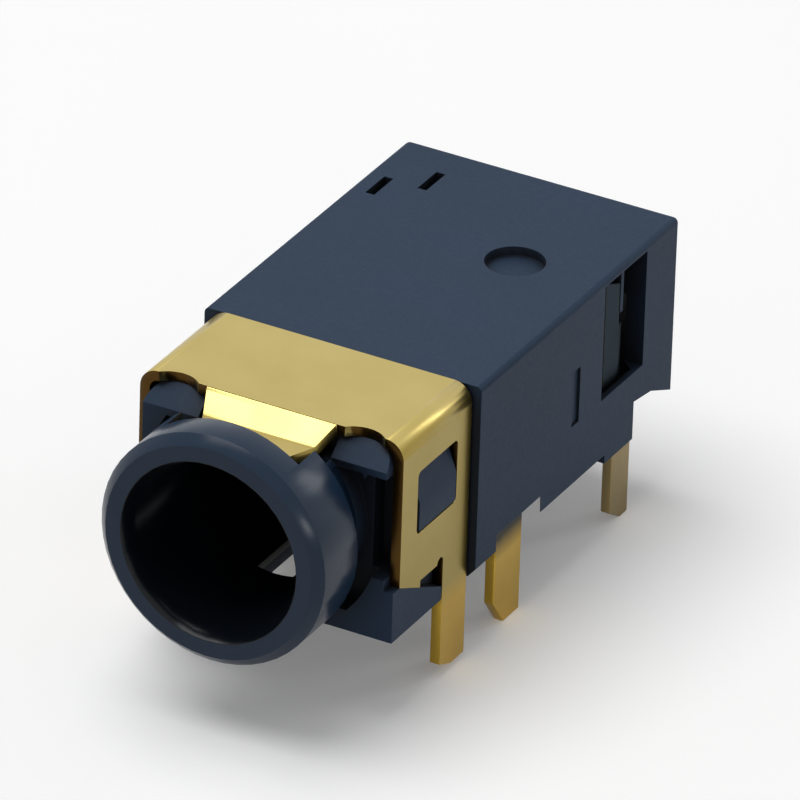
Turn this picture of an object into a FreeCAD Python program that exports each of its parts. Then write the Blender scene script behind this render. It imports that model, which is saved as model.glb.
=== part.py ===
import FreeCAD, Part
import math
import os

import Sketcher
from FreeCAD import Placement, Rotation, Vector

# Low 3.5 mm audio jack socket for a circuit board, all lengths in millimetres.
# The origin lies on the board under the plug axis, at the front face of the
# housing. X runs to the right seen from the front, Y runs back, Z runs up.
# A row is the alias of a driving dimension, its value and what it measures.
DIMENSIONS = [
    ("plug_height", 2.2, "height of the plug axis above the board"),
    ("bore_radius", 1.8, "radius of the bore that takes the 3.5 mm plug"),
    ("mouth_radius", 1.96, "radius of the flared mouth of the bore"),
    ("mouth_depth", 0.35, "depth of the flare"),
    ("nose_radius", 2.5, "outer radius of the round nose"),
    ("nose_reach", 2.15, "reach of the nose in front of the housing face"),
    ("nose_bevel", 0.2, "bevel round the front rim of the nose"),
    ("neck_radius", 2.12, "outer radius of the neck behind the nose flange"),
    ("neck_length", 0.65, "length of the neck"),
    ("recess_radius", 2.6, "radius of the recess round the neck"),
    ("recess_low", 0.45, "lower end of the recess above the board"),
    ("recess_roof", 0.15, "wall between the recess and the slope above it"),
    ("front_slope_height", 0.38, "height of the slope at the top front edge of the seat"),
    ("front_slope_depth", 0.45, "depth of the slope at the top front edge of the seat"),
    ("nose_slot_reach", 1.3, "how far the slot for the tongue runs into the nose"),
    ("rear_half", 3.12, "half width of the housing behind the frame"),
    ("shoulder", 0.17, "how far the frame lies inside that width"),
    ("crown", 2.1, "height of the housing top above the plug axis"),
    ("front_depth", 3.1, "depth of the front part that carries the frame"),
    ("tail_length", 1.55, "length of the housing behind the plug tip's groove"),
    ("foot_height", 1.12, "height of the foot at the front edge of the side plates"),
    ("foot_fall", 0.83, "how far the top of the foot falls towards the frame legs"),
    ("side_bevel", 0.2, "height of the bevel along the lower side edges"),
    ("rear_foot_length", 1.2, "length of the foot at the rear, which has no bevel"),
    ("rear_block", 1.7, "length of the rear block that clears the board"),
    ("rear_lift", 0.33, "height of the rear block above the board"),
    ("arch_width", 0.9, "width of the arches under the sides of the rear block"),
    ("arch_height", 0.85, "height of the arches at their front end"),
    ("arch_knee_height", 0.75, "height of the arches where they start to fall"),
    ("arch_fall", 0.96, "length over which the arches fall to the rear block"),
    ("floor_slot_half", 0.4, "half width of the opening in the floor of the bore"),
    ("floor_slot_front", 0.6, "front edge of the opening in the floor of the bore"),
    ("floor_slot_length", 2.0, "length of the opening in the floor of the bore"),
    ("edge_round", 0.12, "rounding of the outer edges of the housing"),
    ("rear_wall", 0.45, "thickness of the rear wall"),
    ("tail_radius", 1.6, "radius of the bore round the tip of the plug"),
    ("tip_hole_radius", 1.2, "radius of the hole that lets the plug tip out"),
    ("sheet", 0.22, "thickness of the frame sheet"),
    ("frame_proud", 0.05, "height of the frame above the housing top"),
    ("frame_front", 0.27, "front edge of the frame plates"),
    ("frame_gap", 0.06, "gap between the frame and the shoulder behind it"),
    ("bend_round", 0.42, "outer radius of the long bends of the frame"),
    ("tongue_half", 1.45, "half width of the tongue at its root"),
    ("tongue_tip_half", 0.95, "half width of the tongue at its tip"),
    ("tongue_root", 0.42, "rear end of the tongue in the top plate"),
    ("tongue_run", 0.5, "length of the slope in the tongue"),
    ("tongue_drop", 0.34, "height of the slope in the tongue"),
    ("tongue_reach", 0.95, "how far the tongue reaches in front of the housing face"),
    ("tongue_bend", 0.12, "inner radius of the two bends of the tongue"),
    ("tongue_gap", 0.1, "gap below the tongue"),
    ("relief_radius", 0.62, "radius of the two corner notches"),
    ("relief_side", 2.08, "distance of the corner notches from the middle"),
    ("relief_depth", 0.46, "rear end of the corner notches"),
    ("window_front", 0.9, "front edge of the side windows"),
    ("window_width", 1.6, "width of the side windows"),
    ("window_height", 1.4, "height of the side windows"),
    ("sill", 0.88, "height of the side plates below their windows"),
    ("plate_step_place", 1.12, "where the side plates step up before their legs"),
    ("plate_step_height", 0.88, "height of the side plates above the board at that step"),
    ("window_round", 0.12, "corner radius of the side windows"),
    ("catch_gap", 0.06, "gap round the catch in its window"),
    ("catch_proud", 0.24, "height of the catch above its wall"),
    ("frame_leg_width", 0.99, "width of a leg of the frame"),
    ("leg_notch", 0.12, "radius of the notch beside a leg of the frame"),
    ("frame_leg_drop", 1.68, "how far the frame legs reach below the board"),
    ("leg_drop", 1.82, "how far the legs of the springs reach below the board"),
    ("leg_slant_run", 0.45, "width of the slanted cut at the tip of a leg"),
    ("frame_leg_slant", 0.18, "height of that cut at the frame legs"),
    ("ring_leg_slant", 0.6, "height of that cut at the ring spring legs"),
    ("tip_leg_slant", 0.28, "height of that cut at the tip spring legs"),
    ("strip", 0.22, "thickness of the contact strip"),
    ("ring_leg_inset", 0.17, "depth of the ring spring legs in the side wall"),
    ("ring_leg_front", 4.25, "front edge of the ring spring legs"),
    ("ring_leg_width", 1.1, "width of the ring spring legs"),
    ("ring_place", 7.15, "where the ring springs touch the plug"),
    ("ring_touch", 1.6, "free distance of the ring springs from the axis"),
    ("tip_leg_inset", 0.17, "depth of the tip spring legs in the side wall"),
    ("tip_leg_lead", 0.67, "front edge of the tip spring legs before the groove"),
    ("tip_leg_width", 0.76, "width of the tip spring legs"),
    ("tip_plate_lead", 0.58, "front edge of the tip spring plates before their legs"),
    ("tip_plate_width", 0.62, "width of the tip spring plates above their legs"),
    ("tip_plate_fall", 0.25, "how far the top of the tip spring plates falls to the rear"),
    ("tip_plate_roof", 0.3, "wall of the housing above the tip spring plates"),
    ("tip_bar", 0.4, "height of the bar that joins a tip plate to its leg"),
    ("tip_bar_gap", 0.1, "gap between that bar and the spring arm above it"),
    ("tip_place", 9.85, "where the tip springs touch the plug"),
    ("tip_touch", 1.2, "free distance of the tip springs from the axis"),
    ("tip_arm_run", 0.6, "how far outside its contact a tip arm starts to slope"),
    ("arm_height", 1.2, "height of the spring arms"),
    ("arm_bend", 0.3, "middle radius of the bends in the spring arms"),
    ("arm_hook", 0.6, "length of the turned end of a spring arm along the bore"),
    ("arm_room", 0.25, "free room above and below the spring arms"),
    ("arm_room_side", 0.9, "distance of the rooms of the arms from the middle"),
    ("arm_room_tail", 1.0, "length of the ring spring rooms behind the contact"),
    ("arm_wall", 0.75, "wall of the housing outside the free ends of the arms"),
    ("slot_gap", 0.03, "gap round the legs in their slots"),
    ("notch_lead", 0.3, "how far the opening under the wall leads the leg"),
    ("notch_width", 1.83, "width of the opening under the side wall"),
    ("notch_height", 0.57, "height of the opening under the side wall"),
    ("notch_depth", 0.5, "depth of the opening under the side wall"),
    ("notch_flare", 0.95, "how much wider that opening is at its inner side"),
    ("side_slot_lag", 0.19, "front edge of the tall side slot behind the leg's"),
    ("side_slot_width", 0.65, "width of the tall slot in the side"),
    ("side_slot_low", 1.55, "lower end of the tall slot in the side"),
    ("side_slot_depth", 0.75, "depth of the tall slot in the side"),
    ("side_slot_roof", 0.15, "wall of the housing above the tall slot"),
    ("side_recess_length", 1.12, "length of the side recess before the tall slot"),
    ("top_slot_length", 0.8, "length of the two short slots in the top"),
    ("top_slot_width", 0.2, "width of the two short slots in the top"),
    ("top_slot_depth", 0.5, "depth of the two short slots in the top"),
    ("top_slot_inset", 0.38, "distance of the outer short slot from the left side"),
    ("top_slot_pitch", 0.8, "distance between the two short slots across the top"),
    ("top_slot_lead", 0.23, "front end of the outer short slot before the tip leg"),
    ("top_slot_stagger", 0.72, "how far the inner short slot lies behind the outer"),
    ("dimple_side", 1.2, "distance of the round mark from the middle"),
    ("dimple_place", 8.0, "distance of the round mark from the front face"),
    ("dimple_radius", 0.62, "radius of the round mark"),
    ("dimple_depth", 0.2, "depth of the round mark"),
    ("groove_width", 0.3, "width of the shallow groove in the side"),
    ("groove_depth", 0.06, "depth of the shallow groove in the side"),
]

SIDES = {"right": 1, "left": -1}

doc = FreeCAD.newDocument("audio_jack_socket")
sheet = doc.addObject("Spreadsheet::Sheet", "Dims")
for row, (alias, number, meaning) in enumerate(DIMENSIONS, start=1):
    sheet.set(f"A{row}", meaning)
    sheet.set(f"B{row}", str(number))
    sheet.setAlias(f"B{row}", alias)
doc.recompute()


class Size:
    """A length that carries its value and the formula that gives it."""

    def __init__(self, value, formula):
        self.value = value
        self.formula = formula

    @staticmethod
    def of(thing):
        return thing if isinstance(thing, Size) else Size(float(thing), f"{thing}")

    def join(self, sign, other, value):
        return Size(value, f"({self.formula} {sign} {other.formula})")

    def __add__(self, other):
        other = Size.of(other)
        return self.join("+", other, self.value + other.value)

    def __sub__(self, other):
        other = Size.of(other)
        return self.join("-", other, self.value - other.value)

    def __mul__(self, other):
        other = Size.of(other)
        return self.join("*", other, self.value * other.value)

    def __truediv__(self, other):
        other = Size.of(other)
        return self.join("/", other, self.value / other.value)

    def __rsub__(self, other):
        return Size.of(other) - self

    def __neg__(self):
        return Size(-self.value, f"(0 - {self.formula})")

    __radd__ = __add__
    __rmul__ = __mul__

    def long_side(self, other):
        """The long side of a right triangle with these two short sides."""
        return Size(math.hypot(self.value, other.value),
                    f"sqrt({self.formula} ^ 2 + {other.formula} ^ 2)")


class Dimensions:
    """Gives each driving dimension of the sheet as a Size."""

    def __getattr__(self, alias):
        return Size(float(sheet.get(alias)), f"Dims.{alias}")


dim = Dimensions()
ZERO = Size.of(0)


def bind(thing, prop, size):
    thing.setExpression(prop, Size.of(size).formula)


def move(thing, x, y, z):
    for axis, size in zip("xyz", (x, y, z)):
        bind(thing, f"Placement.Base.{axis}", size)


def box(name, x, y, z):
    """A block between two X, two Y and two Z values."""
    block = doc.addObject("Part::Box", name)
    for prop, (low, high) in zip(("Length", "Width", "Height"), (x, y, z)):
        bind(block, prop, high - low)
    move(block, x[0], y[0], z[0])
    return block


def rod(name, radius, start, length, turn=Rotation()):
    """A cylinder that starts at a point and runs up, unless it is turned."""
    cylinder = doc.addObject("Part::Cylinder", name)
    bind(cylinder, "Radius", radius)
    bind(cylinder, "Height", length)
    cylinder.Placement = Placement(Vector(), turn)
    move(cylinder, *start)
    return cylinder


def fuse(name, shapes):
    whole = doc.addObject("Part::MultiFuse", name)
    whole.Shapes = shapes
    return whole


def cut(name, base, tool):
    rest = doc.addObject("Part::Cut", name)
    rest.Base = base
    rest.Tool = tool
    return rest


def plane(body, role):
    return [f for f in body.Origin.OriginFeatures if f.Role == role][0]


def sketch(body, name, role, lift=ZERO, rise=ZERO):
    """An empty sketch on an origin plane, lifted off it and raised in it."""
    drawing = body.newObject("Sketcher::SketchObject", name)
    drawing.AttachmentSupport = (plane(body, role), [""])
    drawing.MapMode = "FlatFace"
    bind(drawing, "AttachmentOffset.Base.y", rise)
    bind(drawing, "AttachmentOffset.Base.z", lift)
    return drawing


def pin(drawing, edge, end, point):
    """Holds one end of a sketch edge at a point given by two sizes."""
    for kind, size in zip(("DistanceX", "DistanceY"), point):
        index = drawing.addConstraint(
            Sketcher.Constraint(kind, -1, 1, edge, end, size.value))
        bind(drawing, f"Constraints[{index}]", size)


def polygon(drawing, points):
    """A closed outline with straight edges, each corner held by sizes."""
    points = [(Size.of(u), Size.of(v)) for u, v in points]
    count = len(points)
    for here, there in zip(points, points[1:] + points[:1]):
        drawing.addGeometry(Part.LineSegment(
            Vector(here[0].value, here[1].value, 0),
            Vector(there[0].value, there[1].value, 0)))
    for edge in range(count):
        following = (edge + 1) % count
        drawing.addConstraint(Sketcher.Constraint("Coincident", edge, 2, following, 1))
        pin(drawing, edge, 1, points[edge])
    return drawing


def pad(body, name, drawing, length, middle=False, backwards=False):
    feature = body.newObject("PartDesign::Pad", name)
    feature.Profile = drawing
    bind(feature, "Length", length)
    feature.Midplane = middle
    feature.Reversed = backwards
    return feature


def edges_where(shape, test):
    """Names of the edges whose two ends and middle all pass a test."""
    names = []
    for number, edge in enumerate(shape.Edges, start=1):
        middle = edge.valueAt((edge.FirstParameter + edge.LastParameter) / 2)
        if all(test(p) for p in [v.Point for v in edge.Vertexes] + [middle]):
            names.append(f"Edge{number}")
    return names


def near(value, size):
    return abs(value - size.value) < 1e-6


def round_edges(body, name, base, test, radius):
    doc.recompute()
    feature = body.newObject("PartDesign::Fillet", name)
    feature.Base = (base, edges_where(base.Shape, test))
    bind(feature, "Radius", radius)
    return feature


# Places that several pieces share.
front_half = dim.rear_half - dim.shoulder
body_height = dim.plug_height + dim.crown
body_length = dim.tip_place + dim.tail_length
frame_top = body_height + dim.frame_proud
seat_half = front_half - dim.sheet
seat_top = frame_top - dim.sheet
frame_rear = dim.front_depth - dim.frame_gap
ring_leg_rear = dim.ring_leg_front + dim.ring_leg_width
ring_leg_side = dim.rear_half - dim.ring_leg_inset
tip_leg_side = dim.rear_half - dim.tip_leg_inset
tip_leg_front = dim.tip_place - dim.tip_leg_lead
tip_leg_rear = tip_leg_front + dim.tip_leg_width
arm_low = dim.plug_height - dim.arm_height / 2
arm_high = dim.plug_height + dim.arm_height / 2
ring_plate_top = arm_high
cavity_rear = body_length - dim.rear_wall
foot_rear = body_length - dim.rear_block
rear_foot_front = foot_rear - dim.rear_foot_length
frame_leg_front = frame_rear - dim.frame_leg_width
foot_low = dim.foot_height - dim.foot_fall
window_low = dim.foot_height + dim.sill
tip_bar_high = arm_low - dim.tip_bar_gap
tip_bar_low = tip_bar_high - dim.tip_bar
tip_plate_front = tip_leg_front - dim.tip_plate_lead
tip_plate_rear = tip_plate_front + dim.tip_plate_width
tip_plate_top = body_height - dim.tip_plate_roof


def moulding():
    """The housing before its slots: walls, front seat, nose, bore and catches."""
    body = doc.addObject("PartDesign::Body", "Moulding")
    side_view = polygon(sketch(body, "SideView", "YZ_Plane"), [
        (dim.front_depth, ZERO), (foot_rear, ZERO), (foot_rear, dim.rear_lift),
        (body_length, dim.rear_lift), (body_length, body_height),
        (dim.front_depth, body_height)])
    walls = pad(body, "Walls", side_view, dim.rear_half * 2, middle=True)

    def outer(p):
        top = near(p.z, body_height)
        side = near(abs(p.x), dim.rear_half)
        back = near(p.y, body_length)
        return top and side or side and back or top and back

    round_edges(body, "OuterEdges", walls, outer, dim.edge_round)

    front_view = polygon(sketch(body, "FrontView", "XZ_Plane"), [
        (-front_half, ZERO), (front_half, ZERO),
        (front_half, dim.foot_height), (seat_half, dim.foot_height),
        (seat_half, seat_top), (-seat_half, seat_top),
        (-seat_half, dim.foot_height), (-front_half, dim.foot_height)])
    seat = pad(body, "Seat", front_view, dim.front_depth, backwards=True)

    def under_bend(p):
        return near(p.z, seat_top) and near(abs(p.x), seat_half)

    round_edges(body, "SeatEdges", seat, under_bend, dim.bend_round)

    half_nose = polygon(sketch(body, "HalfNose", "YZ_Plane", rise=dim.plug_height), [
        (-dim.nose_reach, dim.bore_radius),
        (-dim.nose_reach, dim.nose_radius - dim.nose_bevel),
        (-dim.nose_reach + dim.nose_bevel, dim.nose_radius),
        (-dim.neck_length, dim.nose_radius),
        (-dim.neck_length, dim.neck_radius),
        (dim.tongue_root, dim.neck_radius),
        (dim.tongue_root, dim.bore_radius)])
    nose = body.newObject("PartDesign::Revolution", "Nose")
    nose.Profile = half_nose
    nose.ReferenceAxis = (half_nose, ["H_Axis"])
    nose.Angle = 360

    half_bore = polygon(sketch(body, "HalfBore", "YZ_Plane", rise=dim.plug_height), [
        (-dim.nose_reach, ZERO), (-dim.nose_reach, dim.mouth_radius),
        (-dim.nose_reach + dim.mouth_depth, dim.bore_radius),
        (tip_leg_front, dim.bore_radius),
        (tip_leg_front + dim.mouth_depth, dim.tail_radius),
        (cavity_rear, dim.tail_radius), (cavity_rear, dim.tip_hole_radius),
        (body_length, dim.tip_hole_radius), (body_length, ZERO)])
    bore = body.newObject("PartDesign::Groove", "Bore")
    bore.Profile = half_bore
    bore.ReferenceAxis = (half_bore, ["H_Axis"])
    bore.Angle = 360

    catch_front = dim.window_front + dim.catch_gap
    catch_low = window_low + dim.catch_gap
    catch_high = window_low + dim.window_height - dim.catch_gap
    catch_width = dim.window_width - dim.catch_gap * 2
    for side, sign in SIDES.items():
        wedge = polygon(
            sketch(body, f"{side}CatchView", "XZ_Plane", lift=-catch_front), [
                (seat_half * sign, catch_low),
                ((seat_half + dim.catch_proud) * sign, catch_low),
                ((seat_half + dim.catch_proud) * sign, (catch_low + catch_high) / 2),
                (seat_half * sign, catch_high)])
        pad(body, f"{side}Catch", wedge, catch_width, backwards=True)
    return body


def prism(name, role, length, points, middle=ZERO):
    """A solid with an outline on an origin plane, half its length on each side."""
    body = doc.addObject("PartDesign::Body", name)
    outline = polygon(sketch(body, f"{name}Outline", role, lift=middle), points)
    pad(body, f"{name}Pad", outline, length, middle=True)
    return body


def neck_recess():
    """A ring-shaped recess round the neck, as deep as the free part of the tongue."""
    along_y = Rotation(Vector(1, 0, 0), -90)
    start = (ZERO, ZERO, dim.plug_height)
    ring = cut("RecessRing",
               rod("RecessDisc", dim.recess_radius, start, dim.tongue_root, along_y),
               rod("RecessCore", dim.neck_radius, start, dim.tongue_root, along_y))
    band = box("RecessBand", (-seat_half, seat_half), (ZERO, dim.tongue_root),
               (dim.recess_low, seat_top - dim.front_slope_height - dim.recess_roof))
    recess = doc.addObject("Part::MultiCommon", "NeckRecess")
    recess.Shapes = [ring, band]
    return recess


def foot_slopes():
    """The room above the foot, whose top falls from the front to the frame legs."""
    slope = prism("FootSlope", "YZ_Plane", front_half * 2, [
        (dim.frame_front, dim.foot_height), (frame_leg_front, foot_low),
        (frame_leg_front, dim.foot_height)])
    middle = box("FootMiddle", (-seat_half, seat_half), (dim.frame_front, frame_leg_front),
                 (foot_low, dim.foot_height))
    return cut("FootSlopes", slope, middle)


def side_bevel(side, sign):
    """The bevel along one lower side edge, down to the width of the front."""
    front, rear = dim.front_depth, rear_foot_front
    return prism(f"{side}Bevel", "XZ_Plane", rear - front, [
        (front_half * sign, ZERO), (dim.rear_half * sign, ZERO),
        (dim.rear_half * sign, dim.side_bevel)], middle=-(front + rear) / 2)


def side_arches():
    """The room under both sides of the rear block, which falls to the rear."""
    arch = prism("Arch", "YZ_Plane", dim.rear_half * 2, [
        (foot_rear, ZERO), (foot_rear, dim.arch_height),
        (body_length - dim.arch_fall, dim.arch_knee_height),
        (body_length, dim.rear_lift), (body_length, ZERO)])
    inner = dim.rear_half - dim.arch_width
    middle = box("ArchMiddle", (-inner, inner), (foot_rear, body_length),
                 (ZERO, dim.arch_height))
    return cut("SideArches", arch, middle)


def arm_room(name, sign, front, outer, straight, rear):
    """A hollow for one spring arm, whose outer wall follows the sloping arm."""
    free_side = dim.rear_half - dim.arm_wall
    plan = [(dim.arm_room_side, front), (outer, front), (outer, straight),
            (free_side, (straight + rear) / 2), (free_side, rear), (dim.arm_room_side, rear)]
    height = dim.arm_height + dim.arm_room * 2
    return prism(name, "XY_Plane", height, [(x * sign, y) for x, y in plan],
                 middle=dim.plug_height)


def spring_rooms(side, sign):
    """The slots and hollows of the housing that one pair of springs needs."""
    gap = dim.slot_gap
    notch_front = dim.ring_leg_front - dim.notch_lead
    notch_rear = notch_front + dim.notch_width
    notch_side = dim.rear_half - dim.notch_depth
    opening = [(dim.rear_half, notch_front), (dim.rear_half, notch_rear),
               (notch_side, notch_rear + dim.notch_flare), (notch_side, notch_front)]
    plate_front = tip_plate_front - gap
    turn_rear = tip_plate_rear + dim.arm_bend + dim.strip

    def span(inner, outer):
        return (inner, outer) if sign > 0 else (-outer, -inner)

    ring_side = span(ring_leg_side - dim.strip - gap, ring_leg_side + gap)
    tip_side = span(tip_leg_side - dim.strip - gap, tip_leg_side + gap)
    leg_y = (tip_leg_front - gap, tip_leg_rear + gap)
    return [
        box(f"{side}RingSlot", ring_side,
            (dim.ring_leg_front - gap, ring_leg_rear + gap), (ZERO, ring_plate_top + gap)),
        arm_room(f"{side}RingRoom", sign, ring_leg_rear, ring_leg_side + gap,
                 ring_leg_rear + dim.arm_bend, dim.ring_place + dim.arm_room_tail),
        prism(f"{side}LegOpening", "XY_Plane", dim.notch_height * 2,
              [(x * sign, y) for x, y in opening]),
        side_bevel(side, sign),
        box(f"{side}TipLegSlot", tip_side, leg_y, (ZERO, tip_bar_high + gap)),
        box(f"{side}TipBarSlot", tip_side, (plate_front, leg_y[1]),
            (tip_bar_low - gap, tip_bar_high + gap)),
        box(f"{side}TipPlateSlot", tip_side, (plate_front, tip_plate_rear + gap),
            (tip_bar_low - gap, tip_plate_top + gap)),
        arm_room(f"{side}TipRoom", sign, tip_plate_rear - gap, tip_leg_side + gap,
                 turn_rear, cavity_rear),
    ]


def housing():
    gap = dim.slot_gap
    tongue_side = dim.tongue_half + gap
    tongue_low = seat_top - dim.tongue_drop - dim.tongue_gap
    tongue_room = box(
        "TongueRoom", (-tongue_side, tongue_side),
        (-dim.nose_slot_reach, dim.tongue_root + gap),
        (tongue_low, dim.plug_height + dim.nose_radius))
    front_slope = prism("FrontSlope", "YZ_Plane", seat_half * 2, [
        (ZERO, seat_top - dim.front_slope_height), (dim.front_slope_depth, seat_top),
        (ZERO, seat_top)])
    floor_slot = box(
        "FloorSlot", (-dim.floor_slot_half, dim.floor_slot_half),
        (dim.floor_slot_front, dim.floor_slot_front + dim.floor_slot_length),
        (ZERO, dim.plug_height))
    frame_legs = [
        box(f"{side}FrameLegSlot", (inner, outer),
            (frame_leg_front - gap, dim.front_depth), (ZERO, dim.foot_height))
        for side, inner, outer in (("right", seat_half - gap, front_half),
                                   ("left", -front_half, -seat_half + gap))]
    side_slot_front = tip_leg_front + dim.side_slot_lag
    side_slot_rear = side_slot_front + dim.side_slot_width
    tall_slot = box(
        "TallSlot", (dim.rear_half - dim.side_slot_depth, dim.rear_half),
        (side_slot_front, side_slot_rear),
        (dim.side_slot_low, body_height - dim.side_slot_roof))
    side_recess = box(
        "SideRecess", (tip_leg_side, dim.rear_half),
        (side_slot_front - dim.side_recess_length, side_slot_rear),
        (dim.side_slot_low, body_height - dim.side_slot_roof))
    top_slots = [
        box(f"{name}TopSlot", (side, side + dim.top_slot_width),
            (front, front + dim.top_slot_length),
            (body_height - dim.top_slot_depth, body_height))
        for name, side, front in (
            ("Outer", dim.top_slot_inset - dim.rear_half, tip_leg_front - dim.top_slot_lead),
            ("Inner", dim.top_slot_inset + dim.top_slot_pitch - dim.rear_half,
             tip_leg_front - dim.top_slot_lead + dim.top_slot_stagger))]
    dimple = rod(
        "Dimple", dim.dimple_radius,
        (dim.dimple_side, dim.dimple_place, body_height - dim.dimple_depth),
        dim.dimple_depth)
    groove = box(
        "SideGroove", (dim.rear_half - dim.groove_depth, dim.rear_half),
        (dim.ring_place - dim.groove_width / 2, dim.ring_place + dim.groove_width / 2),
        (dim.side_slot_low, ring_plate_top))
    rooms = frame_legs + top_slots + [
        tongue_room, front_slope, neck_recess(), foot_slopes(), floor_slot, side_arches(),
        tall_slot, side_recess, dimple, groove]
    for side, sign in SIDES.items():
        rooms += spring_rooms(side, sign)
    whole = cut("Housing", moulding(), fuse("Rooms", rooms))
    whole.Label = "housing"
    return whole


def tongue():
    """A tapered lip of the sheet that steps down into the slot of the nose."""
    low = frame_top - dim.tongue_drop
    bend_shift = (dim.tongue_run.long_side(dim.tongue_drop) - dim.tongue_run) * (
        dim.sheet / dim.tongue_drop)
    slope_front = dim.frame_front - dim.tongue_run
    strip = prism("TongueStrip", "YZ_Plane", dim.tongue_half * 2, [
        (dim.tongue_root, frame_top), (dim.frame_front, frame_top),
        (slope_front, low), (-dim.tongue_reach, low),
        (-dim.tongue_reach, low - dim.sheet), (slope_front + bend_shift, low - dim.sheet),
        (dim.frame_front + bend_shift, seat_top), (dim.tongue_root, seat_top)])
    for name, hollow, crest in (("Upper", (dim.frame_front + bend_shift, seat_top),
                                 (dim.frame_front, frame_top)),
                                ("Lower", (slope_front, low),
                                 (slope_front + bend_shift, low - dim.sheet))):
        for kind, (y, z), radius in (("Hollow", hollow, dim.tongue_bend),
                                     ("Crest", crest, dim.tongue_bend + dim.sheet)):
            round_edges(strip, f"{name}{kind}Bend", strip.Tip,
                        lambda p: near(p.y, y) and near(p.z, z), radius)
    plan = prism("TonguePlan", "XY_Plane", frame_top * 2, [
        (-dim.tongue_half, dim.tongue_root), (-dim.tongue_half, dim.frame_front),
        (-dim.tongue_tip_half, -dim.tongue_reach), (dim.tongue_tip_half, -dim.tongue_reach),
        (dim.tongue_half, dim.frame_front), (dim.tongue_half, dim.tongue_root)])
    lip = doc.addObject("Part::MultiCommon", "TongueLip")
    lip.Shapes = [strip, plan]
    return lip


def shield_frame():
    """One stamped sheet: top, two sides with windows and legs, and the tongue."""
    body = doc.addObject("PartDesign::Body", "Channel")
    outer, inner = front_half, seat_half
    arch = polygon(sketch(body, "Arch", "XZ_Plane", lift=-dim.frame_front), [
        (-outer, -dim.frame_leg_drop), (-inner, -dim.frame_leg_drop), (-inner, seat_top),
        (inner, seat_top), (inner, -dim.frame_leg_drop), (outer, -dim.frame_leg_drop),
        (outer, frame_top), (-outer, frame_top)])
    plates = pad(body, "Plates", arch, frame_rear - dim.frame_front, backwards=True)

    def outside_bend(p):
        return near(p.z, frame_top) and near(abs(p.x), outer)

    def inside_bend(p):
        return near(p.z, seat_top) and near(abs(p.x), inner)

    bent = round_edges(body, "OuterBends", plates, outside_bend, dim.bend_round)
    round_edges(body, "InnerBends", bent, inside_bend, dim.bend_round - dim.sheet)

    across = (-dim.rear_half, dim.rear_half)
    step_low = dim.foot_height - dim.foot_fall * (
        dim.plate_step_place - dim.frame_front) / (frame_leg_front - dim.frame_front)
    below_plates = prism("BelowPlates", "YZ_Plane", dim.rear_half * 2, [
        (dim.frame_front, -dim.frame_leg_drop), (dim.frame_front, dim.foot_height),
        (dim.plate_step_place, step_low), (dim.plate_step_place, dim.plate_step_height),
        (frame_leg_front, dim.plate_step_height), (frame_leg_front, -dim.frame_leg_drop)])
    window = box("Window", across,
                 (dim.window_front, dim.window_front + dim.window_width),
                 (window_low, window_low + dim.window_height))
    doc.recompute()
    rounded = doc.addObject("Part::Fillet", "RoundedWindow")
    rounded.Base = window
    along_x = [n for n, e in enumerate(window.Shape.Edges, start=1)
               if abs(e.tangentAt(e.FirstParameter).x) > 0.5]
    corner = dim.window_round.value
    rounded.Edges = [(number, corner, corner) for number in along_x]
    leg_notches = rod("LegNotches", dim.leg_notch,
                      (-dim.rear_half, frame_leg_front - dim.leg_notch,
                       dim.plate_step_height),
                      dim.rear_half * 2, Rotation(Vector(0, 1, 0), 90))
    reliefs = [rod(f"{side}Relief", dim.relief_radius,
                   (dim.relief_side * sign, dim.relief_depth - dim.relief_radius, seat_top),
                   dim.sheet) for side, sign in SIDES.items()]
    tip_cuts = prism("TipCuts", "YZ_Plane", dim.rear_half * 2, [
        (frame_leg_front, -dim.frame_leg_drop),
        (frame_leg_front + dim.leg_slant_run, -dim.frame_leg_drop),
        (frame_leg_front, -dim.frame_leg_drop + dim.frame_leg_slant)])
    channel = cut("CutChannel", body, fuse(
        "Cutouts", [below_plates, rounded, leg_notches, tip_cuts] + reliefs))
    whole = fuse("ShieldFrame", [channel, tongue()])
    whole.Label = "shield_frame"
    return whole


def bent_strip(points, thickness, bend):
    """A flat outline of a strip that runs through points with round bends."""
    runs = [(b - a).normalize() for a, b in zip(points, points[1:])]

    def side_edges(offset):
        left = [Vector(-r.y, r.x, 0) * offset for r in runs]
        edges = []
        here = points[0] + left[0]
        for index in range(1, len(points) - 1):
            before, after = runs[index - 1], runs[index]
            turn = before.getAngle(after)
            way = 1 if before.cross(after).z > 0 else -1
            back = bend * math.tan(turn / 2)
            start = points[index] - before * back + left[index - 1]
            end = points[index] + after * back + left[index]
            centre = points[index] - before * back + Vector(-before.y, before.x, 0) * way * bend
            outward = (points[index] - centre).normalize()
            middle = centre + outward * (bend - way * offset)
            edges += [Part.LineSegment(here, start).toShape(),
                      Part.Arc(start, middle, end).toShape()]
            here = end
        finish = points[-1] + left[-1]
        edges.append(Part.LineSegment(here, finish).toShape())
        return edges, points[0] + left[0], finish

    first, first_start, first_end = side_edges(thickness / 2)
    second, second_start, second_end = side_edges(-thickness / 2)
    caps = [Part.LineSegment(first_end, second_end).toShape(),
            Part.LineSegment(first_start, second_start).toShape()]
    outline = Part.Wire(Part.__sortEdges__(first + second + caps))
    return Part.Face(outline)


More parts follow.
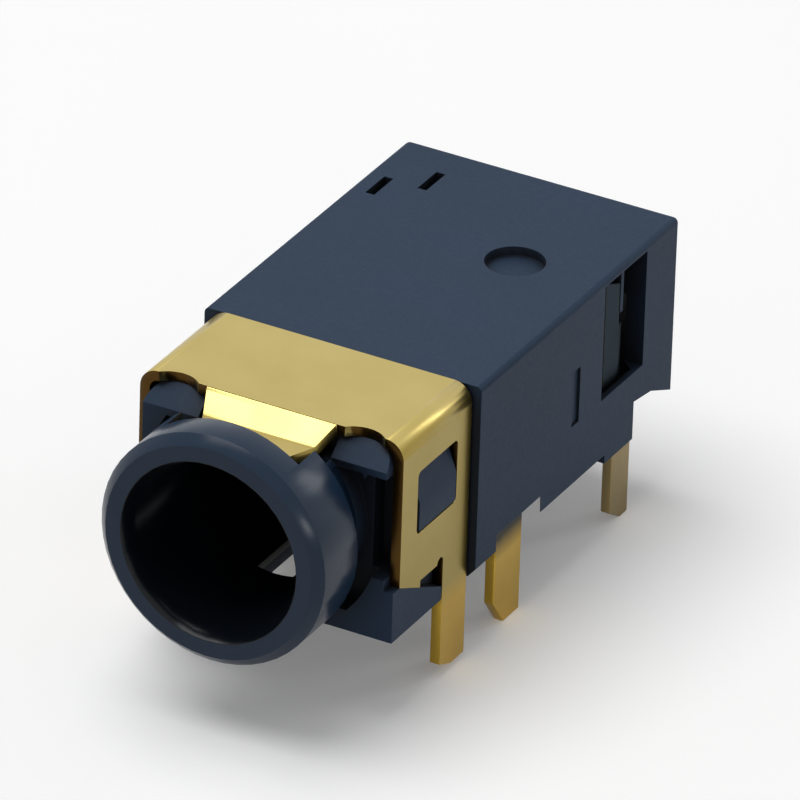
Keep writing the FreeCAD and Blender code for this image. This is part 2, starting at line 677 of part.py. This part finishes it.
def spring(label, sign, side, outline, path):
    """One contact: a flat blank seen from the side, with a bent spring arm."""
    strip = dim.strip.value
    corners = [Vector(side.value - strip, y.value, z.value) for y, z in outline]
    blank = Part.Face(Part.makePolygon(corners + corners[:1])).extrude(Vector(strip, 0, 0))
    points = [Vector(x.value, y.value, arm_low.value) for x, y in path]
    arm = bent_strip(points, strip, dim.arm_bend.value)
    arm = arm.extrude(Vector(0, 0, dim.arm_height.value))
    shape = blank.fuse(arm).removeSplitter()
    if sign < 0:
        shape = shape.mirror(Vector(), Vector(1, 0, 0))
    contact = doc.addObject("Part::Feature", label)
    contact.Shape = shape
    contact.Placement = Placement()
    contact.Label = label
    return contact


def leg_tip(front, width, slant):
    """The lower corners of a leg, with its front corner cut off."""
    return [(front, -dim.leg_drop + slant),
            (front + dim.leg_slant_run, -dim.leg_drop), (front + width, -dim.leg_drop)]


def ring_spring(label, sign):
    """The arm leaves its plate backwards and bulges towards the plug."""
    outline = leg_tip(dim.ring_leg_front, dim.ring_leg_width, dim.ring_leg_slant) + [
        (ring_leg_rear, ring_plate_top), (dim.ring_leg_front, ring_plate_top)]
    middle = ring_leg_side - dim.strip / 2
    crest = dim.ring_touch + dim.strip / 2
    path = [(middle, ring_leg_rear), (middle, ring_leg_rear + dim.arm_bend),
            (crest, dim.ring_place), (crest + dim.arm_bend, dim.ring_place + dim.arm_hook)]
    return spring(label, sign, ring_leg_side, outline, path)


def tip_spring(label, sign):
    """The arm bends inwards at the rear edge of its plate, towards the plug tip."""
    outline = leg_tip(tip_leg_front, dim.tip_leg_width, dim.tip_leg_slant) + [
        (tip_leg_rear, tip_bar_high), (tip_plate_rear, tip_bar_high),
        (tip_plate_rear, tip_plate_top - dim.tip_plate_fall), (tip_plate_front, tip_plate_top),
        (tip_plate_front, tip_bar_low), (tip_leg_front, tip_bar_low)]
    middle = tip_leg_side - dim.strip / 2
    crest = dim.tip_touch + dim.strip / 2
    turn = tip_plate_rear + dim.arm_bend
    path = [(middle, tip_plate_front), (middle, turn), (crest + dim.tip_arm_run, turn),
            (crest, dim.tip_place), (crest + dim.arm_bend, dim.tip_place + dim.arm_hook)]
    return spring(label, sign, tip_leg_side, outline, path)


def check(parts):
    """Stops the script where an object failed or a piece has no good shape."""
    for thing in doc.Objects:
        if "Invalid" in thing.State or "Error" in thing.State:
            raise RuntimeError(f"{thing.Name} failed: {thing.State}")
    for piece in parts:
        if piece.Shape.isNull() or not piece.Shape.isValid():
            raise RuntimeError(f"{piece.Label} has no valid shape")


pieces = [housing(), shield_frame()]
for suffix, hand in (("spring", 1), ("detect_spring", -1)):
    pieces.append(ring_spring(f"ring_{suffix}", hand))
    pieces.append(tip_spring(f"tip_{suffix}", hand))
doc.recompute()
check(pieces)
os.makedirs("parts", exist_ok=True)
for piece in pieces:
    piece.Shape.exportStep(f"parts/{piece.Label}.step")
    bounds = piece.Shape.BoundBox
    print(f"{piece.Label}: {len(piece.Shape.Solids)} solid, {piece.Shape.Volume:.3f} mm3, "
          f"z {bounds.ZMin:.2f} to {bounds.ZMax:.2f}, y {bounds.YMin:.2f} to {bounds.YMax:.2f}")
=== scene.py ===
# %% [markdown]
# A low audio jack socket for a circuit board: a dark moulded housing with a round
# nose, a gold-plated stamped frame over its front, and thin contacts whose legs are
# soldered into the board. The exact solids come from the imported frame, already in
# place, so this lesson only gives them rounded edges, real finishes, light and a view.

# %% Load the frame
import math

import bmesh
import bpy
from mathutils import Matrix, Vector


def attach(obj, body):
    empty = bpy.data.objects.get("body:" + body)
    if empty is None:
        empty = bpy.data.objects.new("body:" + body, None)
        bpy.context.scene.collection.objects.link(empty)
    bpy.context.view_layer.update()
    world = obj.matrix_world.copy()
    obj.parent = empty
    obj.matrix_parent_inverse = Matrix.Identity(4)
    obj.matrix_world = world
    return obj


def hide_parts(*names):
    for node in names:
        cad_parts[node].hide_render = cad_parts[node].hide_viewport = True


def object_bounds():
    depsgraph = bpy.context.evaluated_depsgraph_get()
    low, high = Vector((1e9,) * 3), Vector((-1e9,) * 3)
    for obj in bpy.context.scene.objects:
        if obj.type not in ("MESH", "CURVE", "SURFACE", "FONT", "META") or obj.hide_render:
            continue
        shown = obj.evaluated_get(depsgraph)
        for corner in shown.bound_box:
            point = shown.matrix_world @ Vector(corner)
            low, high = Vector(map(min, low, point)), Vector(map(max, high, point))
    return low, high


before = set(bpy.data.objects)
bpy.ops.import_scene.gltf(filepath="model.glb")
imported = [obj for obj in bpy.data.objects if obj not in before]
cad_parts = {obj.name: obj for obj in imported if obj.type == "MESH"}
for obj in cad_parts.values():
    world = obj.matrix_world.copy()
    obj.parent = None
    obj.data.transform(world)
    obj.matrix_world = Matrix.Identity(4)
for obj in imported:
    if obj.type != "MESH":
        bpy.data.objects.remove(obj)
cad_low, cad_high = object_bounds()
MM = 0.001
BODY = "root"
print("CAD box in mm:", [round(v / MM, 2) for v in (*cad_low, *cad_high)])

# %% [markdown]
# The photo is taken from the right and above, through a long lens that keeps the long
# edges almost parallel. The camera looks at a point inside the housing, and its lens
# follows from how many pixels one millimetre covers at that point. A Track To
# constraint would aim it too, but it keeps the picture level, and the photo leans a
# little. So the camera's three axes are worked out from the angles: one back from the
# part, one level to the right and then turned by the roll, and one square to both.

# %% Camera
PICTURE_WIDTH = 800
PIXELS_PER_MM = 50.46
SENSOR_MM = 36
CAMERA_AZIMUTH, CAMERA_ELEVATION, CAMERA_ROLL = (math.radians(d) for d in (28.0, 29.2, 1.9))
CAMERA_DISTANCE = 250 * MM
CLIP_RATIO = 10
LOOK_AT = Vector((0.295, 5.02, 2.285)) * MM


def add_camera():
    back = Vector((math.sin(CAMERA_AZIMUTH) * math.cos(CAMERA_ELEVATION),
                   -math.cos(CAMERA_AZIMUTH) * math.cos(CAMERA_ELEVATION),
                   math.sin(CAMERA_ELEVATION)))
    level = Vector((math.cos(CAMERA_AZIMUTH), math.sin(CAMERA_AZIMUTH), 0))
    right = Matrix.Rotation(CAMERA_ROLL, 3, back) @ level
    data = bpy.data.cameras.new("photo_camera")
    data.sensor_width = SENSOR_MM
    data.lens = PIXELS_PER_MM * (CAMERA_DISTANCE / MM) * SENSOR_MM / PICTURE_WIDTH
    data.clip_start = CAMERA_DISTANCE / CLIP_RATIO
    data.clip_end = CAMERA_DISTANCE * CLIP_RATIO
    camera = bpy.data.objects.new("photo_camera", data)
    axes = Matrix((right, back.cross(right), back)).transposed()
    camera.matrix_world = Matrix.Translation(LOOK_AT + back * CAMERA_DISTANCE) @ axes.to_4x4()
    bpy.context.scene.collection.objects.link(camera)
    bpy.context.scene.camera = camera
    return camera


print("lens in mm:", round(add_camera().data.lens, 1))

# %% [markdown]
# Colours are picked as sRGB hex values, as on a colour chart, while shaders want
# linear light. So one function turns the first into the second, by the numbers of the
# sRGB standard itself.

# %% Colours
WHITE = "FFFFFF"


def colour(text):
    """A hex colour such as C9A95C as linear RGBA."""
    parts = [int(text[i:i + 2], 16) / 255 for i in (0, 2, 4)]
    linear = [c / 12.92 if c <= 0.04045 else ((c + 0.055) / 1.055) ** 2.4 for c in parts]
    return (*linear, 1.0)


print("white in linear light:", colour(WHITE))

# %% [markdown]
# A material could be a picture wrapped round the part, but a picture has seams, and
# it blurs from close by. Nodes that work the finish out at each point have neither
# fault. One function adds a node with its settings and its links, which keeps each
# material short, and another starts a material from its shader. A noise pattern takes
# a scale, which is how many grains lie in a metre, but a maker knows how large a grain
# is, so a third function turns that size over. Its detail says how many finer layers
# of noise lie on the first.

# %% Helpers for materials
SOFT_DETAIL, FINE_DETAIL = 2.0, 3.0


def add_node(tree, kind, settings=None, values=(), **inputs):
    """Adds a node; an input takes a value, or another node's output socket.

    Inputs go by name, or as values in order where several share one name."""
    node = tree.nodes.new(kind)
    for name, value in (settings or {}).items():
        setattr(node, name, value)
    named = [(node.inputs[name.replace("_", " ")], value) for name, value in inputs.items()]
    for socket, value in named + list(zip(node.inputs, values)):
        if isinstance(value, bpy.types.NodeSocket):
            tree.links.new(value, socket)
        else:
            socket.default_value = value
    return node


def new_material(name, **shader):
    """A material with one Principled shader, whose plain values are given here."""
    material = bpy.data.materials.new(name)
    material.use_nodes = True
    tree = material.node_tree
    principled = tree.nodes["Principled BSDF"]
    for socket, value in shader.items():
        principled.inputs[socket.replace("_", " ")].default_value = value
    return material, tree, principled


def per_metre(size_mm):
    """The scale that gives a noise pattern a grain of this size."""
    return 1 / (size_mm * MM)


# %% [markdown]
# The mould of the housing is rough inside, apart from two places: the bore is shaped
# by a polished core pin, and the nose by a polished ring. Both could be separate
# materials on chosen faces, but then the border between them would need a clean row
# of faces to end on. A mask in the shader needs none. It finds the bore by a point's
# distance from the plug's axis and how deep it lies, and the nose by how far forward.
# The bore's mask also paints shade: inside the bore the colour is made near black.

# %% Where the mould is polished
PLUG_AXIS_HEIGHT_MM = 2.2
CORE_PIN_RADIUS_MM, CORE_PIN_END_MM = 1.97, 10.9
NOSE_END_MM = -0.02


def polished_places(tree, place):
    """Two sockets: one is 1 in the bore, the other 1 in the bore and on the nose."""
    depth = add_node(tree, "ShaderNodeSeparateXYZ", Vector=place).outputs["Y"]
    lowered = add_node(tree, "ShaderNodeVectorMath", {"operation": "SUBTRACT"},
                       (place, (0, 0, PLUG_AXIS_HEIGHT_MM * MM))).outputs["Vector"]
    across = add_node(tree, "ShaderNodeVectorMath", {"operation": "MULTIPLY"},
                      (lowered, (1, 0, 1))).outputs["Vector"]
    radius = add_node(tree, "ShaderNodeVectorMath", {"operation": "LENGTH"},
                      (across,)).outputs["Value"]
    close = add_node(tree, "ShaderNodeMath", {"operation": "LESS_THAN"},
                     (radius, CORE_PIN_RADIUS_MM * MM)).outputs["Value"]
    before = add_node(tree, "ShaderNodeMath", {"operation": "LESS_THAN"},
                      (depth, CORE_PIN_END_MM * MM)).outputs["Value"]
    bore = add_node(tree, "ShaderNodeMath", {"operation": "MULTIPLY"},
                    (close, before)).outputs["Value"]
    nose = add_node(tree, "ShaderNodeMath", {"operation": "LESS_THAN"},
                    (depth, NOSE_END_MM * MM)).outputs["Value"]
    polished = add_node(tree, "ShaderNodeMath", {"operation": "MAXIMUM"},
                        (bore, nose)).outputs["Value"]
    return bore, polished


# %% [markdown]
# The housing is blue-black PBT, filled with glass fibre so that it survives
# soldering. The steel mould was spark-eroded, which leaves a fine even grain that
# scatters most of the gloss, so the shader's specular level is set low. Real grain is
# about 0.02 mm, too fine to show in the picture, so it is drawn coarser. Where the
# melt flowed slower the colour is a little paler, in soft clouds. Shade is painted
# into slots and hollows: an Ambient Occlusion node finds them, and there the colour
# goes to near black.

# %% Moulded blue-black PBT
PBT_IOR, PBT_SPECULAR = 1.57, 0.17
PBT_GRAIN_MM, PBT_FLOW_MM = 0.07, 2.5
PBT_DEEP, PBT_PALE = "16283C", "1F334A"
# The two blacks below are painted shade: one for slots and hollows, one for the bore.
CAVITY_PAINTED_SHADE, BORE_PAINTED_SHADE = "070B12", "0B1016"
HOLLOW_REACH_MM, HOLLOW_SAMPLES = 1.2, 8
HOLLOW_BELOW, OPEN_ABOVE = 0.45, 0.9
ERODED_SMOOTH, ERODED_ROUGH, POLISHED_ROUGHNESS = 0.48, 0.68, 0.22
GRAIN_BUMP, GRAIN_HEIGHT_MM = 0.25, 0.004


def moulded_pbt():
    material, tree, shader = new_material("moulded_blue_black_PBT", IOR=PBT_IOR,
                                          Specular_IOR_Level=PBT_SPECULAR)
    place = add_node(tree, "ShaderNodeTexCoord").outputs["Object"]
    grain = add_node(tree, "ShaderNodeTexNoise", Vector=place,
                     Scale=per_metre(PBT_GRAIN_MM), Detail=FINE_DETAIL).outputs["Fac"]
    flow = add_node(tree, "ShaderNodeTexNoise", Vector=place,
                    Scale=per_metre(PBT_FLOW_MM), Detail=SOFT_DETAIL).outputs["Fac"]
    bore, polished = polished_places(tree, place)
    # Ambient occlusion paints shade here: in slots and hollows the colour goes to near black.
    openness = add_node(tree, "ShaderNodeAmbientOcclusion", {"samples": HOLLOW_SAMPLES},
                        Distance=HOLLOW_REACH_MM * MM).outputs["AO"]
    free_of_painted_shade = add_node(tree, "ShaderNodeMapRange", Value=openness,
                     From_Min=HOLLOW_BELOW, From_Max=OPEN_ABOVE).outputs["Result"]

    moulded = add_node(tree, "ShaderNodeMix", {"data_type": "RGBA"}, Factor=flow,
                       A=colour(PBT_DEEP), B=colour(PBT_PALE)).outputs["Result"]
    tint_with_painted_shade = add_node(tree, "ShaderNodeMix", {"data_type": "RGBA"}, Factor=free_of_painted_shade,
                         A=colour(CAVITY_PAINTED_SHADE), B=moulded).outputs["Result"]
    # The bore is painted near black, a painted shade inside the deep hole.
    tint = add_node(tree, "ShaderNodeMix", {"data_type": "RGBA"}, Factor=bore,
                    A=tint_with_painted_shade, B=colour(BORE_PAINTED_SHADE)).outputs["Result"]
    tree.links.new(tint, shader.inputs["Base Color"])

    eroded = add_node(tree, "ShaderNodeMapRange", Value=grain,
                      To_Min=ERODED_SMOOTH, To_Max=ERODED_ROUGH).outputs["Result"]
    gloss = add_node(tree, "ShaderNodeMix", {"data_type": "FLOAT"}, Factor=polished,
                     A=eroded, B=POLISHED_ROUGHNESS).outputs["Result"]
    tree.links.new(gloss, shader.inputs["Roughness"])
    bump = add_node(tree, "ShaderNodeBump", Height=grain, Strength=GRAIN_BUMP,
                    Distance=GRAIN_HEIGHT_MM * MM)
    tree.links.new(bump.outputs["Normal"], shader.inputs["Normal"])
    return material


PBT = moulded_pbt()
print("made", PBT.name)

# %% [markdown]
# The metal pieces are phosphor bronze sheet. The frame's sheet was plated with pale
# gold before it was stamped, so its cut edges show bare bronze; their dark brown is
# partly that bronze and partly painted shade, for the dark gaps along the sheet's
# edges. The frame's sides are given a deeper gold than its top, a painted shade for
# faces that turn away from the light. Painting faces one by one would show this too,
# but the shader can tell a cut edge and a side by the way that a face looks: the
# first looks along the part, the second across it. The legs were dipped once more, so
# they are warm gold all round.
# The bath's upper edge is not quite level, so noise moves the height where the colour
# changes.

# %% Sides, cut edges and dipped legs
TURNED_FROM, TURNED_TO = 0.7, 0.85
BATH_TOP_MM, BATH_FADE_MM, BATH_WAVE_MM = 0.15, 0.5, 0.3


def turned_across_and_along(tree, normal):
    """Two sockets: one is 1 on faces that look across the part, the other along it."""
    facing = add_node(tree, "ShaderNodeSeparateXYZ", Vector=normal).outputs
    shares = []
    for axis in ("X", "Y"):
        turned = add_node(tree, "ShaderNodeMath", {"operation": "ABSOLUTE"},
                          (facing[axis],)).outputs["Value"]
        share = add_node(tree, "ShaderNodeMapRange", Value=turned,
                         From_Min=TURNED_FROM, From_Max=TURNED_TO).outputs["Result"]
        shares.append(share)
    return shares


def dipped_below(tree, place, clouds):
    """A socket that is 1 on the legs, under the wavy upper edge of the bath."""
    height = add_node(tree, "ShaderNodeSeparateXYZ", Vector=place).outputs["Z"]
    wavy = add_node(tree, "ShaderNodeMath", {"operation": "MULTIPLY_ADD"},
                    (clouds, -BATH_WAVE_MM * MM, height)).outputs["Value"]
    fade = add_node(tree, "ShaderNodeMapRange", Value=wavy, From_Min=BATH_TOP_MM * MM,
                    From_Max=(BATH_TOP_MM - BATH_FADE_MM) * MM)
    return fade.outputs["Result"]


# %% [markdown]
# Gold and bronze are metals, so the shader's metallic value is 1, and its base colour
# tints what they mirror. Rolling left fine lines in the sheet. Real ones are about
# 0.01 mm apart, too fine to show, so they are drawn coarser: noise that is stretched
# along the part. The plating bath left faint clouds, which change the tone and the
# gloss together.

# %% Plated and bare bronze
ROLLING_LINE_MM, LINE_STRETCH = 0.05, 25
ROLLING_BUMP, ROLLING_HEIGHT_MM = 0.2, 0.002
PLATE_CLOUD_MM = 1.2
# Dark bronze for cut edges: partly the bare bronze, partly painted shade for the gaps beside
# them.
CUT_BRONZE_AND_GAP_SHADE = "4A3618"


def plated_bronze(name, sheet, shaded_side, leg, smooth, rough, grazing=WHITE):
    """Each tone is a light and a dark colour, which the plating's clouds mix.

    The grazing colour tints what the metal mirrors at a flat angle; white leaves it as it is."""
    material, tree, shader = new_material(name, Metallic=1.0,
                                          Specular_Tint=colour(grazing))
    surface = add_node(tree, "ShaderNodeTexCoord")
    place = surface.outputs["Object"]
    along = add_node(tree, "ShaderNodeMapping", Vector=place,
                     Scale=(1, 1 / LINE_STRETCH, 1)).outputs["Vector"]
    lines = add_node(tree, "ShaderNodeTexNoise", Vector=along,
                     Scale=per_metre(ROLLING_LINE_MM), Detail=SOFT_DETAIL).outputs["Fac"]
    clouds = add_node(tree, "ShaderNodeTexNoise", Vector=place,
                      Scale=per_metre(PLATE_CLOUD_MM), Detail=FINE_DETAIL).outputs["Fac"]

    shaded_side_share, cut_edge = turned_across_and_along(tree, surface.outputs["Normal"])
    dipped = dipped_below(tree, place, clouds)
    tint, shaded_side_tone, leg_tone = [
        add_node(tree, "ShaderNodeMix", {"data_type": "RGBA"}, Factor=clouds,
                 A=colour(light), B=colour(dark)).outputs["Result"]
        for light, dark in (sheet, shaded_side, leg)]
    # Sides take a deeper tone, a painted shade; cut edges take dark bronze, partly bronze and
    # partly painted shade.
    for share, tone in ((shaded_side_share, shaded_side_tone), (cut_edge, colour(CUT_BRONZE_AND_GAP_SHADE)),
                        (dipped, leg_tone)):
        tint = add_node(tree, "ShaderNodeMix", {"data_type": "RGBA"}, Factor=share,
                        A=tint, B=tone).outputs["Result"]
    tree.links.new(tint, shader.inputs["Base Color"])

    gloss = add_node(tree, "ShaderNodeMapRange", Value=clouds, To_Min=smooth, To_Max=rough)
    tree.links.new(gloss.outputs["Result"], shader.inputs["Roughness"])
    bump = add_node(tree, "ShaderNodeBump", Height=lines, Strength=ROLLING_BUMP,
                    Distance=ROLLING_HEIGHT_MM * MM)
    tree.links.new(bump.outputs["Normal"], shader.inputs["Normal"])
    print("made", name)
    return material


# %% [markdown]
# Three metals come from that one function. The frame is plated all over. The contacts
# are given dark bronze above their legs. The tip contacts are nearly black there, a
# painted shade for their plate in its narrow recess, and their grazing tint dims what
# they mirror at a flat angle, a painted shade as well. Their legs are a duller gold.

# %% The three metals
# The second gold is for the frame's sides, a painted shade.
PALE_GOLD, SHADED_SIDE_GOLD = ("C6B472", "B29F5C"), ("A4914F", "938040")
WARM_LEG, DULL_LEG = ("C4A244", "AD8B36"), ("9E8B63", "88764F")
# The second bronze, for the tip contacts, and the grazing tint below are painted shade.
BARE_BRONZE, SHADED_TIP_BRONZE = ("2E2A1D", "201D15"), ("191D1B", "121512")
SHADED_GRAZING = "DAE3EF"

FRAME_GOLD = plated_bronze("gold_plated_bronze", PALE_GOLD, SHADED_SIDE_GOLD, WARM_LEG,
                           smooth=0.24, rough=0.38)
RING_BRONZE = plated_bronze("bronze_with_gold_leg", BARE_BRONZE, BARE_BRONZE, WARM_LEG,
                            smooth=0.3, rough=0.42)
# The tip contacts get painted shade: near-black bronze and a dimmed grazing tint.
TIP_BRONZE = plated_bronze("bronze_with_dull_leg", SHADED_TIP_BRONZE, SHADED_TIP_BRONZE, DULL_LEG,
                           smooth=0.32, rough=0.46, grazing=SHADED_GRAZING)

# %% [markdown]
# One hollow of the housing is deeper than in its solid: right of the neck, the recess
# is open to the frame's side plate. Pushing vertices back by hand would need faces
# that end at its rim. The hollow is a plain block, so a Boolean modifier cuts it and
# makes that rim itself. The result is kept as the piece's mesh, and the block goes.

# %% A recess beside the neck
RECESS_LOW_MM, RECESS_HIGH_MM = (2.25, -0.1, 1.35), (2.73, 0.85, 3.6)


def neck_recess():
    """The block that is cut away on the right of the neck."""
    low, high = Vector(RECESS_LOW_MM) * MM, Vector(RECESS_HIGH_MM) * MM
    shape = bmesh.new()
    bmesh.ops.create_cube(shape, size=1.0,
                          matrix=Matrix.LocRotScale((low + high) / 2, None, high - low))
    block = bpy.data.objects.new("neck_recess", bpy.data.meshes.new("neck_recess"))
    shape.to_mesh(block.data)
    shape.free()
    bpy.context.scene.collection.objects.link(block)
    return block


def carve(piece, block):
    """Cuts a block out of the piece's mesh for good, and removes the block."""
    cut = piece.modifiers.new("carve", "BOOLEAN")
    cut.operation = "DIFFERENCE"
    cut.solver = "EXACT"
    cut.object = block
    solid = piece.data
    faces_before = len(solid.polygons)
    state = bpy.context.evaluated_depsgraph_get()
    piece.data = bpy.data.meshes.new_from_object(piece.evaluated_get(state))
    piece.modifiers.clear()
    bpy.data.meshes.remove(solid)
    bpy.data.objects.remove(block)
    print(piece.name, "faces before and after carving:", faces_before,
          len(piece.data.polygons))


# %% [markdown]
# The solids have knife-sharp edges, but a moulded edge has a small radius and a
# stamped one a rolled-over side, and those catch the light. Each node gets a finished
# copy: its loose triangles are merged and flat neighbours dissolved, because a bevel
# runs cleanly only between whole faces. Then a Bevel modifier rounds the edges that
# turn sharply, and a Weighted Normal keeps the flat faces flat beside them. A rounded
# edge is given by its width and by how many strips it is made of.

# %% Merged copies and rounded edges
MERGE_MM = 0.0005
FLAT_ANGLE, SHARP_ANGLE = math.radians(0.5), math.radians(32)
MOULDED_EDGE, STAMPED_EDGE = (0.05 * MM, 3), (0.025 * MM, 2)


def merged_copy(node, material):
    name = node + "_finished"
    piece = bpy.data.objects.new(name, bpy.data.meshes.new(name))
    shape = bmesh.new()
    shape.from_mesh(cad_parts[node].data)
    bmesh.ops.remove_doubles(shape, verts=shape.verts, dist=MERGE_MM * MM)
    bmesh.ops.dissolve_limit(shape, angle_limit=FLAT_ANGLE, verts=shape.verts,
                             edges=shape.edges)
    shape.to_mesh(piece.data)
    shape.free()
    piece.data.shade_smooth()
    piece.data.materials.append(material)
    bpy.context.scene.collection.objects.link(piece)
    return piece


def round_edges(piece, edge):
    bevel = piece.modifiers.new("rounded_edges", "BEVEL")
    bevel.width, bevel.segments = edge
    bevel.limit_method = "ANGLE"
    bevel.angle_limit = SHARP_ANGLE
    bevel.harden_normals = True
    bevel.miter_outer = "MITER_ARC"
    weighted = piece.modifiers.new("flat_faces_stay_flat", "WEIGHTED_NORMAL")
    weighted.keep_sharp = True


# %% [markdown]
# A finished copy stands for its node, so the bare solid is hidden and stays behind for
# its weight and collision. It gets its own material and rides on the part's one body.
# The four contacts differ only in their metal, so a loop finishes them.

# %% Finish the six pieces


def finished(node, material, edge, block=None):
    """Dresses a node; the block, where there is one, is carved out before the rounding."""
    piece = merged_copy(node, material)
    if block:
        carve(piece, block)
    round_edges(piece, edge)
    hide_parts(node)
    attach(piece, BODY)
    print(node, "faces:", len(piece.data.polygons))


finished("housing", PBT, MOULDED_EDGE, neck_recess())
finished("shield_frame", FRAME_GOLD, STAMPED_EDGE)
for contact, bronze in (("ring_spring", RING_BRONZE), ("ring_detect_spring", RING_BRONZE),
                        ("tip_spring", TIP_BRONZE), ("tip_detect_spring", TIP_BRONZE)):
    finished(contact, bronze, STAMPED_EDGE)

# %% [markdown]
# The stage is one pale floor under the leg tips and a pale sky. More lamps would make
# them white, but would wash out the part as well. So a Light Path node tells rays that
# are seen or mirrored from rays that light the part: sky and floor look white to the
# first, and cast only a soft light. The floor still takes the part's shadow.

# %% Floor and sky
FLOOR_SIZE = 800 * MM
FLOOR_ROUGHNESS = 0.9
FLOOR_SEEN, FLOOR_CAST, FLOOR_GLOW = "F6F6F6", "A8A8A8", 0.14
SKY_SEEN, SKY_CAST = 1.0, 0.28


def seen_or_mirrored(tree):
    """A socket that is 1 for rays that show a thing and 0 for rays that light one."""
    path = add_node(tree, "ShaderNodeLightPath")
    seen = path.outputs["Is Camera Ray"]
    for kind in ("Is Glossy Ray", "Is Transmission Ray"):
        seen = add_node(tree, "ShaderNodeMath", {"operation": "MAXIMUM"},
                        (seen, path.outputs[kind])).outputs["Value"]
    return seen


def add_floor():
    mesh = bpy.data.meshes.new("floor")
    shape = bmesh.new()
    bmesh.ops.create_grid(shape, x_segments=1, y_segments=1, size=FLOOR_SIZE / 2)
    bmesh.ops.translate(shape, verts=shape.verts, vec=(0, 0, cad_low.z))
    shape.to_mesh(mesh)
    shape.free()
    floor = bpy.data.objects.new("floor", mesh)
    material, tree, shader = new_material("pale_floor", Roughness=FLOOR_ROUGHNESS,
                                          Emission_Color=colour(WHITE))
    seen = seen_or_mirrored(tree)
    tone = add_node(tree, "ShaderNodeMix", {"data_type": "RGBA"}, Factor=seen,
                    A=colour(FLOOR_CAST), B=colour(FLOOR_SEEN))
    tree.links.new(tone.outputs["Result"], shader.inputs["Base Color"])
    glow = add_node(tree, "ShaderNodeMapRange", Value=seen, To_Max=FLOOR_GLOW)
    tree.links.new(glow.outputs["Result"], shader.inputs["Emission Strength"])
    mesh.materials.append(material)
    bpy.context.scene.collection.objects.link(floor)
    print("floor at", round(cad_low.z / MM, 2), "mm")


def add_sky():
    world = bpy.data.worlds.new("pale_sky")
    world.use_nodes = True
    tree = world.node_tree
    strength = add_node(tree, "ShaderNodeMapRange", Value=seen_or_mirrored(tree),
                        To_Min=SKY_CAST, To_Max=SKY_SEEN)
    background = tree.nodes["Background"].inputs
    tree.links.new(strength.outputs["Result"], background["Strength"])
    background["Color"].default_value = colour(WHITE)
    bpy.context.scene.world = world


add_floor()
add_sky()

# %% [markdown]
# Three round area lamps do the rest. The ceiling lamp is large, for soft shadows, and
# hangs to the left, so the sides towards the camera stay darker than the top. Two small
# lamps stand low on the right, mainly to be mirrored: the gold's long bend shows the
# one behind as a bright line, and the polished nose shows the smallest, in front, as a
# crisp glint. The view transform is Standard, which shows a colour as it is written.

# %% Lamps
CEILING_WATTS, SMALL_LAMP_WATTS = 0.36, 0.03


def add_lamp(name, place_mm, size_mm, watts):
    data = bpy.data.lights.new(name, "AREA")
    data.shape = "DISK"
    data.size = size_mm * MM
    data.energy = watts
    lamp = bpy.data.objects.new(name, data)
    lamp.location = Vector(place_mm) * MM
    towards = LOOK_AT - lamp.location
    lamp.rotation_euler = towards.to_track_quat("-Z", "Y").to_euler()
    bpy.context.scene.collection.objects.link(lamp)
    print("lamp", name, "is", round(towards.length / MM), "mm away")


add_lamp("ceiling", (-60, -15, 215), 205, CEILING_WATTS)
add_lamp("behind", (108, 174, 93), 60, SMALL_LAMP_WATTS)
add_lamp("in_front", (171, -132, 44), 34, SMALL_LAMP_WATTS)
bpy.context.scene.view_settings.view_transform = "Standard"
